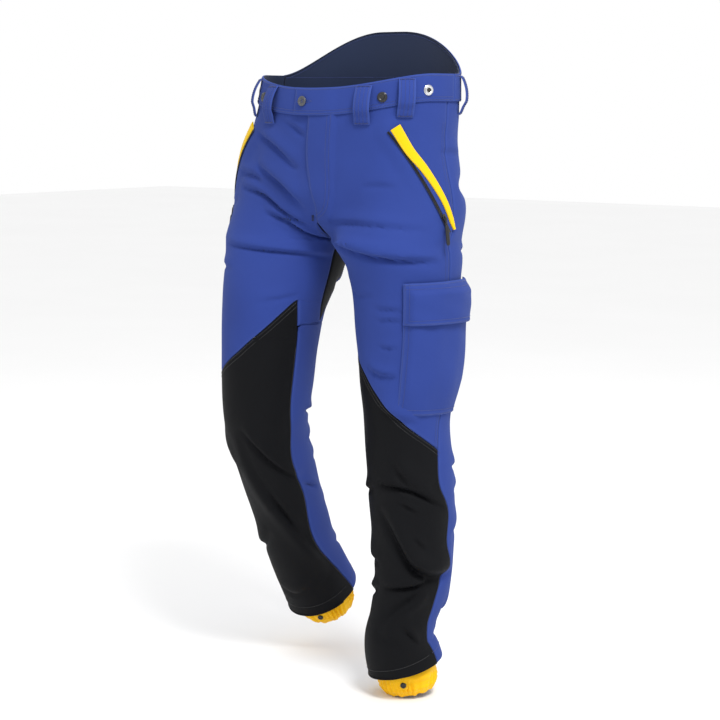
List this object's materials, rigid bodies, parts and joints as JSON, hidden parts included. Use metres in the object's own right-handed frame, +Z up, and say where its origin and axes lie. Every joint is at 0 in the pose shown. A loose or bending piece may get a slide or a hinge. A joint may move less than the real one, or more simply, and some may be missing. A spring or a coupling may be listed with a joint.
{
  "type": "chainsaw protective trousers",
  "caption": "Work trousers with saw-protection pads in the front of both legs, raised back, zipped hip pockets, a flapped thigh pocket and elastic inner gaiters, shown worn with one knee bent.",
  "frame": {"origin": "centre of the waist opening, level with the waistband's upper edge at the hips", "axes": "+Z up, the front faces -Y, the wearer's left is +X"},
  "size_m": [0.4807, 0.3203, 1.1624],
  "materials": {
    "blue_cloth": "matt woven stretch cloth",
    "black_cloth": "matt tight woven cloth",
    "lining": "smooth navy lining",
    "trim_yellow": "smooth coated trim",
    "gaiter_cloth": "light gathered nylon",
    "zip_tape": "black coil zip",
    "pocketing": "thin pocket cloth",
    "saw_pad": "layered long-fibre cut protection, quilted",
    "button": "dark grey resin",
    "black_metal": "black lacquer",
    "nickel": "nickel plate"
  },
  "bodies": {
    "seat": {"left_front_panel": "blue_cloth", "right_front_panel": "blue_cloth", "left_seat_panel": "blue_cloth", "right_seat_panel": "blue_cloth", "fly_placket": "blue_cloth", "fly_shield": "blue_cloth", "fly_zip": "zip_tape", "waistband_left": "blue_cloth", "waistband_right": "blue_cloth", "kidney_panel": "blue_cloth", "kidney_lining": "lining", "waist_button": "button", "left_brace_button_inner": "black_metal", "left_brace_button_outer": "nickel", "right_brace_button_inner": "black_metal", "right_brace_button_outer": "nickel", "belt_loop_left_1": "blue_cloth", "belt_loop_left_2": "blue_cloth", "belt_loop_left_3": "blue_cloth", "belt_loop_right_1": "blue_cloth", "belt_loop_right_2": "blue_cloth", "belt_loop_right_3": "blue_cloth", "belt_loop_back": "blue_cloth", "left_pocket_welt": "trim_yellow", "right_pocket_welt": "trim_yellow", "left_pocket_zip": "zip_tape", "right_pocket_zip": "zip_tape", "left_pocket_bag": "pocketing", "right_pocket_bag": "pocketing", "left_hip_cloth": "blue_cloth", "right_hip_cloth": "blue_cloth", "left_gusset": "black_cloth", "right_gusset": "black_cloth"},
    "left_upper_leg": {"left_thigh_front": "blue_cloth", "left_thigh_black": "black_cloth", "left_thigh_back": "blue_cloth", "left_thigh_saw_pad": "saw_pad", "left_knee_cloth": "black_cloth", "cargo_pocket": "blue_cloth"},
    "right_upper_leg": {"right_thigh_front": "blue_cloth", "right_thigh_black": "black_cloth", "right_thigh_back": "blue_cloth", "right_thigh_saw_pad": "saw_pad", "right_knee_cloth": "black_cloth"},
    "left_lower_leg": {"left_shin_front": "black_cloth", "left_shin_back": "blue_cloth", "left_shin_saw_pad": "saw_pad"},
    "right_lower_leg": {"right_shin_front": "black_cloth", "right_shin_back": "blue_cloth", "right_shin_saw_pad": "saw_pad"},
    "left_cuff": {"left_gaiter": "gaiter_cloth", "left_gaiter_snap": "black_metal"},
    "right_cuff": {"right_gaiter": "gaiter_cloth", "right_gaiter_snap": "black_metal"},
    "pocket_flap": {"cargo_flap": "blue_cloth"},
    "fly_zip_car": {"fly_slider": "nickel"},
    "left_zip_car": {"left_pocket_slider": "black_metal"},
    "left_zip_tag": {"left_pocket_puller": "black_metal"},
    "right_zip_car": {"right_pocket_slider": "black_metal"},
    "right_zip_tag": {"right_pocket_puller": "black_metal"}
  },
  "joints": [
    {"name": "left_hip", "type": "hinge", "parent": "seat", "child": "left_upper_leg", "pos_m": [0.106, -0.015, -0.3], "axis": [-1, 0, 0], "range_deg": [-15, 35], "deforming": ["left_hip_cloth", "left_gusset"]},
    {"name": "left_knee", "type": "hinge", "parent": "left_upper_leg", "child": "left_lower_leg", "pos_m": [0.13, -0.021, -0.7], "axis": [1, 0, 0], "range_deg": [-5, 65], "deforming": ["left_knee_cloth"]},
    {"name": "right_hip", "type": "hinge", "parent": "seat", "child": "right_upper_leg", "pos_m": [-0.143, -0.032, -0.3], "axis": [-1, 0, 0], "range_deg": [-20, 30], "deforming": ["right_hip_cloth", "right_gusset"]},
    {"name": "right_knee", "type": "hinge", "parent": "right_upper_leg", "child": "right_lower_leg", "pos_m": [-0.152, -0.076, -0.64], "axis": [1, 0, 0], "range_deg": [-30, 40], "deforming": ["right_knee_cloth"]},
    {"name": "left_gaiter_slide", "type": "slide", "parent": "left_lower_leg", "child": "left_cuff", "axis": [0.0958, 0.1044, -0.9899], "range_m": [-0.03, 0.03]},
    {"name": "right_gaiter_slide", "type": "slide", "parent": "right_lower_leg", "child": "right_cuff", "axis": [0.0349, 0.5171, -0.8552], "range_m": [-0.03, 0.03]},
    {"name": "cargo_flap_lift", "type": "hinge", "parent": "left_upper_leg", "child": "pocket_flap", "pos_m": [0.2046, -0.0202, -0.3465], "axis": [0, -1, 0], "range_deg": [0, 110], "deforming": ["cargo_flap"]},
    {"name": "fly_zip_run", "type": "slide", "parent": "seat", "child": "fly_zip_car", "axis": [-0.071, 0.0656, -0.9953], "range_m": [0, 0.119]},
    {"name": "left_zip_run", "type": "hinge", "parent": "seat", "child": "left_zip_car", "pos_m": [-0.29253, 0.00658, -0.34373], "axis": [0.0158, -0.9087, -0.4171], "range_deg": [0, 18]},
    {"name": "left_zip_tag_swing", "type": "hinge", "parent": "left_zip_car", "child": "left_zip_tag", "pos_m": [0.21216, -0.03546, -0.23431], "axis": [-0.128, -0.9918, 0], "range_deg": [0, 150]},
    {"name": "right_zip_run", "type": "hinge", "parent": "seat", "child": "right_zip_car", "pos_m": [0.02482, 0.04068, -0.25574], "axis": [-0.2761, 0.8465, 0.4553], "range_deg": [0, 32]},
    {"name": "right_zip_tag_swing", "type": "hinge", "parent": "right_zip_car", "child": "right_zip_tag", "pos_m": [-0.249, -0.0592, -0.23266], "axis": [-0.1354, 0.9908, 0], "range_deg": [0, 150]}
  ]
}
